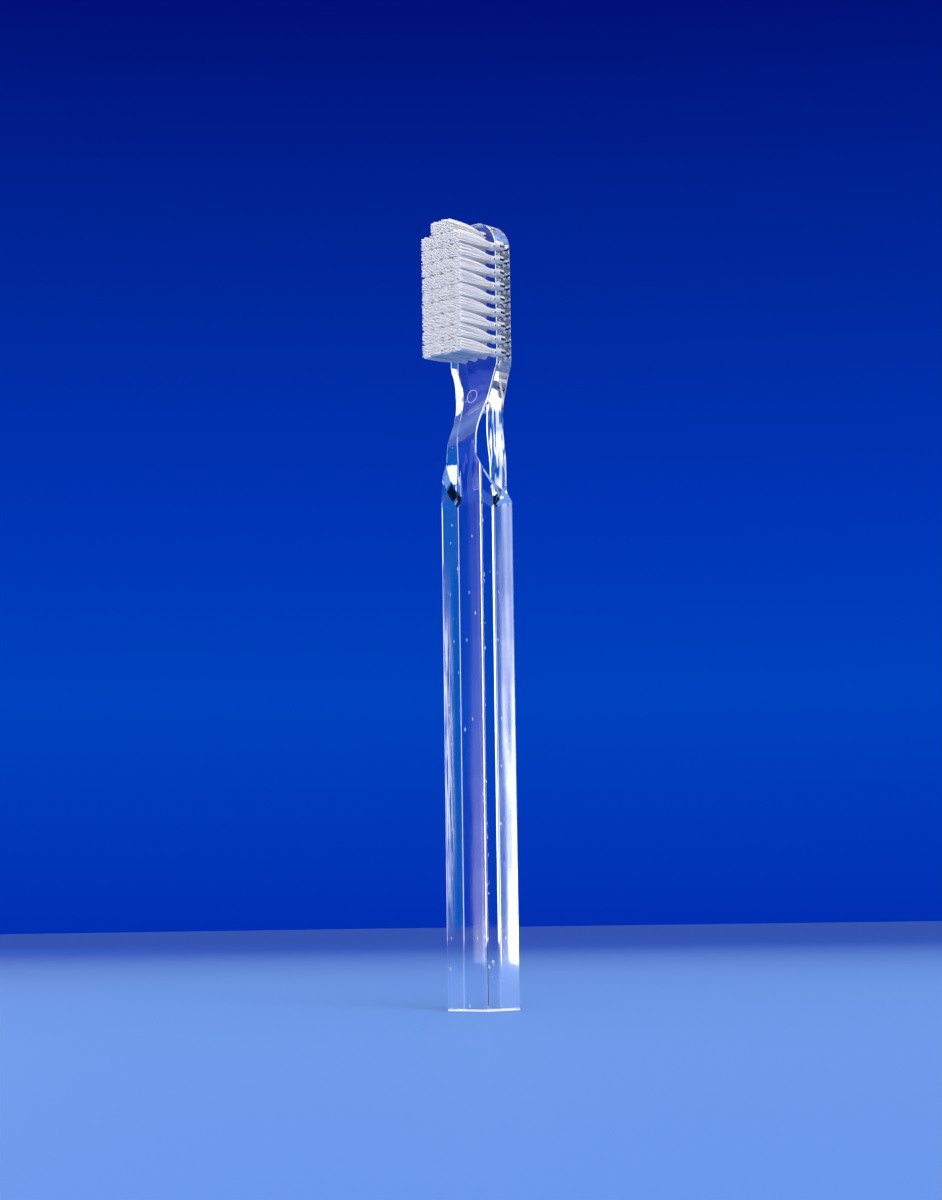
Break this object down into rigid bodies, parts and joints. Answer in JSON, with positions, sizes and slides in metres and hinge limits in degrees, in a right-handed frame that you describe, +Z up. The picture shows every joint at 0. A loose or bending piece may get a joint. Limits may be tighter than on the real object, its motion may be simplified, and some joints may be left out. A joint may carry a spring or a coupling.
{
  "type": "toothbrush",
  "caption": "Clear acrylic manual toothbrush: square handle that stands on its end, scooped waist and flat rounded head with white nylon tufts.",
  "frame": {"origin": "centre of the flat cut end of the handle, which the brush stands on", "axes": "+Z up along the handle to the head, +X across the width of the head, bristles face -Y"},
  "size_m": [0.0134, 0.0154, 0.165],
  "materials": {
    "clear_acrylic": "clear polished acrylic, moulded in one piece, with fine handling scratches",
    "bristle_nylon": "white nylon filament, trimmed flat",
    "anchor_metal": "plain nickel silver strip, sheared"
  },
  "bodies": {
    "root": {"body": "clear_acrylic", "tuft_row_01": "bristle_nylon", "anchor_row_01": "anchor_metal", "tuft_row_02": "bristle_nylon", "anchor_row_02": "anchor_metal", "tuft_row_03": "bristle_nylon", "anchor_row_03": "anchor_metal", "tuft_row_04": "bristle_nylon", "anchor_row_04": "anchor_metal", "tuft_row_05": "bristle_nylon", "anchor_row_05": "anchor_metal", "tuft_row_06": "bristle_nylon", "anchor_row_06": "anchor_metal", "tuft_row_07": "bristle_nylon", "anchor_row_07": "anchor_metal", "tuft_row_08": "bristle_nylon", "anchor_row_08": "anchor_metal", "tuft_row_09": "bristle_nylon", "anchor_row_09": "anchor_metal", "tuft_row_10": "bristle_nylon", "anchor_row_10": "anchor_metal"}
  },
  "joints": []
}
